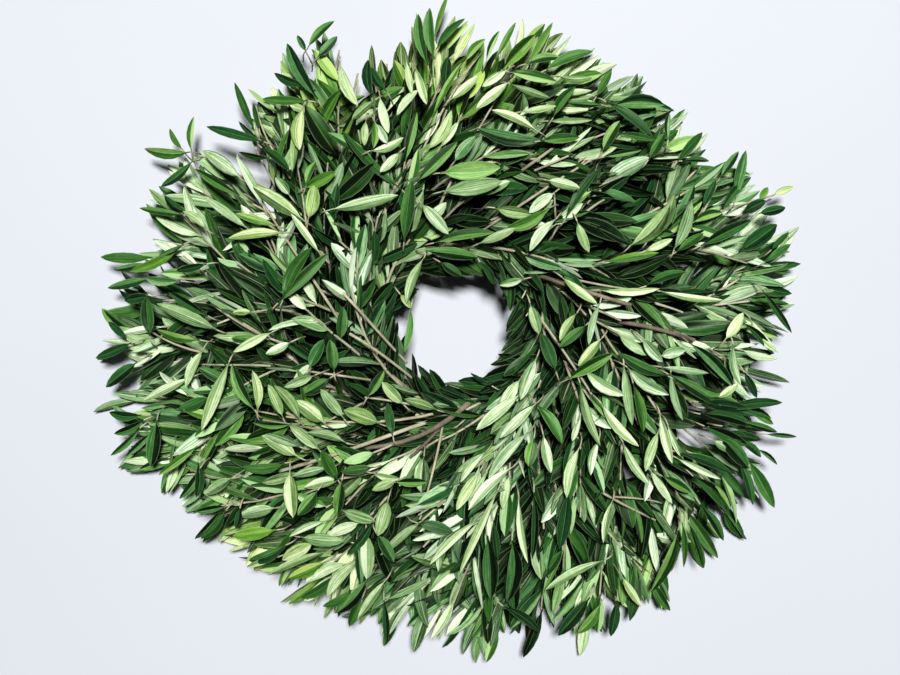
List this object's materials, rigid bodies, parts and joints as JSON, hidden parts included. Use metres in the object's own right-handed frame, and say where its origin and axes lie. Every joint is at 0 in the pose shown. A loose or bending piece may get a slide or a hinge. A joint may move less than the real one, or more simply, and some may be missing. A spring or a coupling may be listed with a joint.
{
  "type": "olive wreath",
  "caption": "Round wreath of leafy olive sprigs, clamped in bunches round a wire ring and swirling clockwise about an open centre.",
  "frame": {"origin": "centre of the wreath's footprint, on the surface it lies on", "axes": "+Z out of the front of the wreath, towards the viewer of the picture; +X to the picture's right and +Y to its top"},
  "size_m": [0.605, 0.5676, 0.0975],
  "materials": {
    "ring_lacquer": "dark green lacquer, satin",
    "olive_leaf_upper": "fresh leaf, waxy upper side, half gloss",
    "olive_leaf_underside": "fresh leaf, felted pale underside, matt"
  },
  "bodies": {
    "root": {"clamp_ring": "ring_lacquer", "sprig_outer_01": "olive_leaf_upper", "sprig_outer_02": "olive_leaf_upper", "sprig_outer_03": "olive_leaf_upper", "sprig_outer_04": "olive_leaf_upper", "sprig_outer_05": "olive_leaf_underside", "sprig_outer_06": "olive_leaf_upper", "sprig_outer_07": "olive_leaf_upper", "sprig_outer_08": "olive_leaf_upper", "sprig_outer_09": "olive_leaf_upper", "sprig_outer_10": "olive_leaf_upper", "sprig_outer_11": "olive_leaf_upper", "sprig_outer_12": "olive_leaf_underside", "sprig_outer_13": "olive_leaf_upper", "sprig_outer_14": "olive_leaf_upper", "sprig_middle_01": "olive_leaf_underside", "sprig_middle_02": "olive_leaf_upper", "sprig_middle_03": "olive_leaf_underside", "sprig_middle_04": "olive_leaf_upper", "sprig_middle_05": "olive_leaf_upper", "sprig_middle_06": "olive_leaf_upper", "sprig_middle_07": "olive_leaf_underside", "sprig_middle_08": "olive_leaf_upper", "sprig_middle_09": "olive_leaf_upper", "sprig_middle_10": "olive_leaf_underside", "sprig_middle_11": "olive_leaf_underside", "sprig_middle_12": "olive_leaf_upper", "sprig_middle_13": "olive_leaf_underside", "sprig_middle_14": "olive_leaf_upper", "sprig_crown_01": "olive_leaf_upper", "sprig_crown_02": "olive_leaf_underside", "sprig_crown_03": "olive_leaf_underside", "sprig_crown_04": "olive_leaf_underside", "sprig_crown_05": "olive_leaf_underside", "sprig_crown_06": "olive_leaf_underside", "sprig_crown_07": "olive_leaf_underside", "sprig_crown_08": "olive_leaf_underside", "sprig_crown_09": "olive_leaf_upper", "sprig_crown_10": "olive_leaf_upper", "sprig_crown_11": "olive_leaf_upper", "sprig_crown_12": "olive_leaf_upper", "sprig_crown_13": "olive_leaf_upper", "sprig_crown_14": "olive_leaf_underside", "sprig_inner_01": "olive_leaf_underside", "sprig_inner_02": "olive_leaf_upper", "sprig_inner_03": "olive_leaf_upper", "sprig_inner_04": "olive_leaf_underside", "sprig_inner_05": "olive_leaf_underside", "sprig_inner_06": "olive_leaf_upper", "sprig_inner_07": "olive_leaf_upper", "sprig_inner_08": "olive_leaf_underside", "sprig_inner_09": "olive_leaf_upper", "sprig_inner_10": "olive_leaf_upper", "sprig_inner_11": "olive_leaf_underside", "sprig_inner_12": "olive_leaf_upper", "sprig_inner_13": "olive_leaf_upper", "sprig_inner_14": "olive_leaf_upper"}
  },
  "joints": []
}
